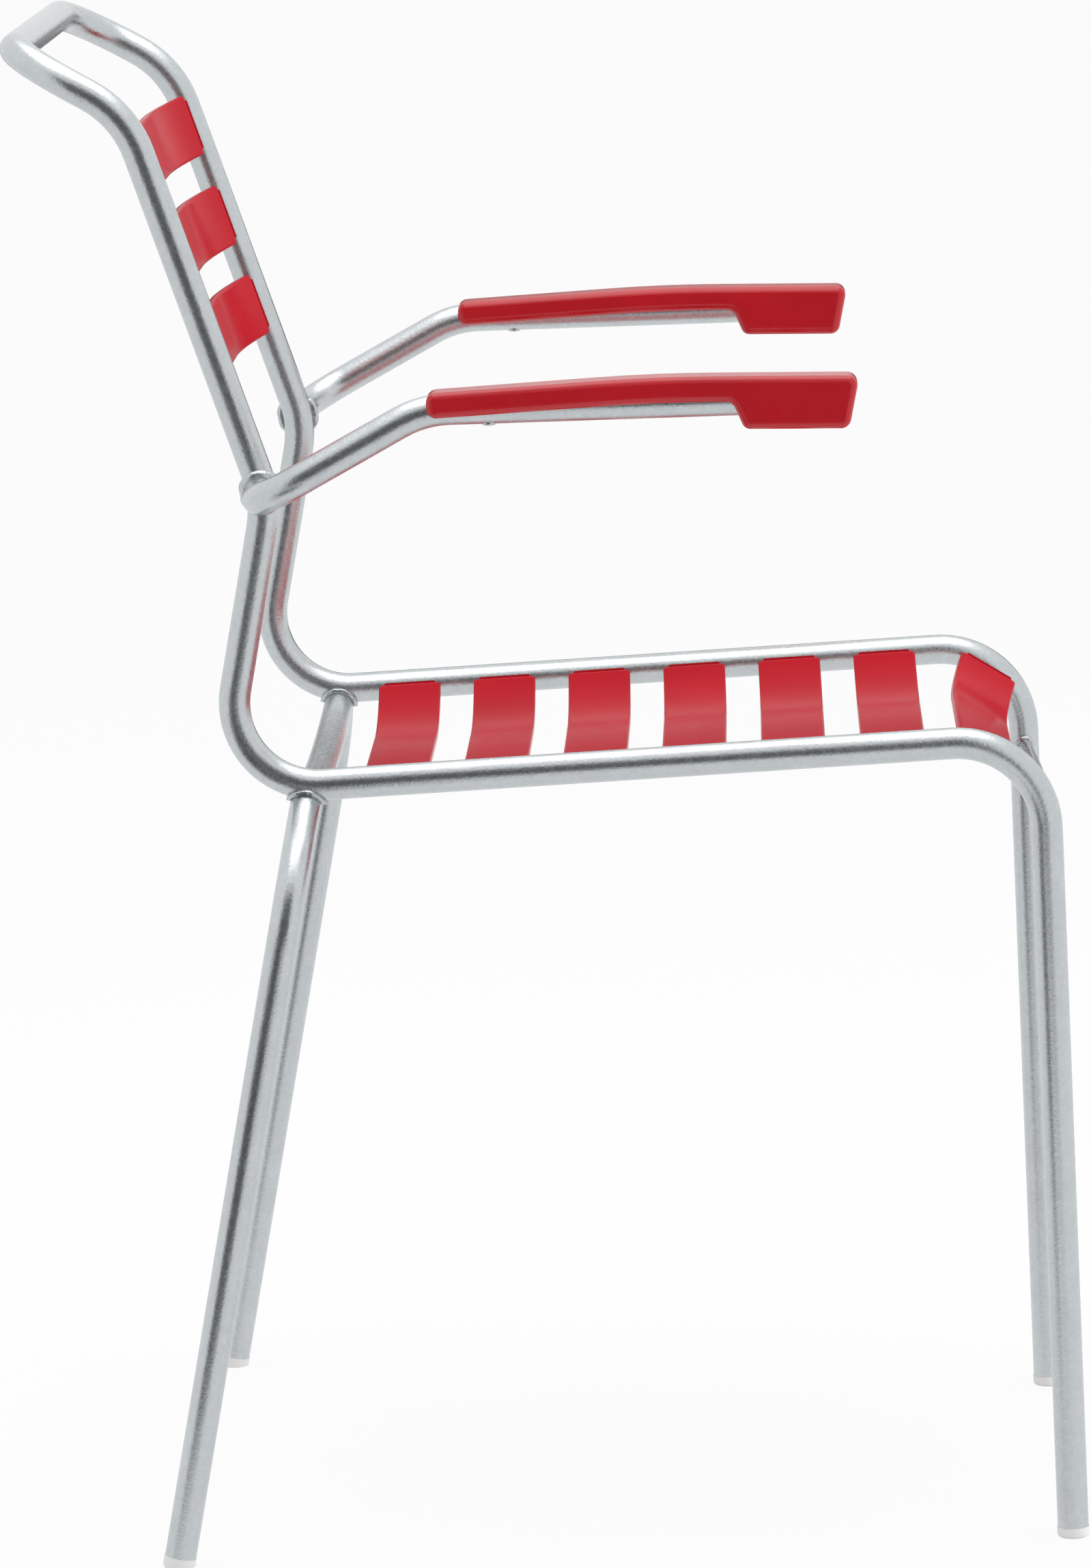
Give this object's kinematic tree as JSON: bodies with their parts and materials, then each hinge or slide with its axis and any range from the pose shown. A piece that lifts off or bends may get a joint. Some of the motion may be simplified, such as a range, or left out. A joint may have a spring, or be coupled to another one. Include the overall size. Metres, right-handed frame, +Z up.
{
  "type": "garden armchair",
  "caption": "Stackable metal garden armchair: bent round-tube frame with a handle bar, dished red slats on seat and back, and red armrest pads.",
  "frame": {"origin": "on the floor, in the middle of the chair's outline seen from above", "axes": "+Z up, -Y the way the sitter faces, +Y towards the back, -X the sitter's right"},
  "size_m": [0.55, 0.6172, 0.869],
  "materials": {
    "galvanised_steel": "satin hot-dip galvanised steel tube, pale bluish silver with faint mottling",
    "weld_steel": "galvanised weld bead, slightly rough",
    "slat_red": "glossy crimson",
    "pad_red": "glossy deep crimson",
    "screw_steel": "zinc-plated screw",
    "glide_white": "off-white, slightly translucent"
  },
  "bodies": {
    "root": {"side_tube_right": "galvanised_steel", "side_tube_left": "galvanised_steel", "rear_crossbar": "galvanised_steel", "rear_leg_right": "galvanised_steel", "rear_leg_left": "galvanised_steel", "arm_tube_right": "galvanised_steel", "arm_tube_left": "galvanised_steel", "front_cross_rod": "galvanised_steel", "arm_welds": "weld_steel", "rear_leg_welds": "weld_steel", "crossbar_welds": "weld_steel", "rod_welds": "weld_steel", "seat_slat_1": "slat_red", "seat_slat_2": "slat_red", "seat_slat_3": "slat_red", "seat_slat_4": "slat_red", "seat_slat_5": "slat_red", "seat_slat_6": "slat_red", "seat_slat_front": "slat_red", "back_slat_lower": "slat_red", "back_slat_middle": "slat_red", "back_slat_upper": "slat_red", "armrest_pad_right": "pad_red", "armrest_pad_left": "pad_red", "armrest_screws": "screw_steel", "glide_front_right": "glide_white", "glide_front_left": "glide_white", "glide_rear_right": "glide_white", "glide_rear_left": "glide_white"}
  },
  "joints": []
}
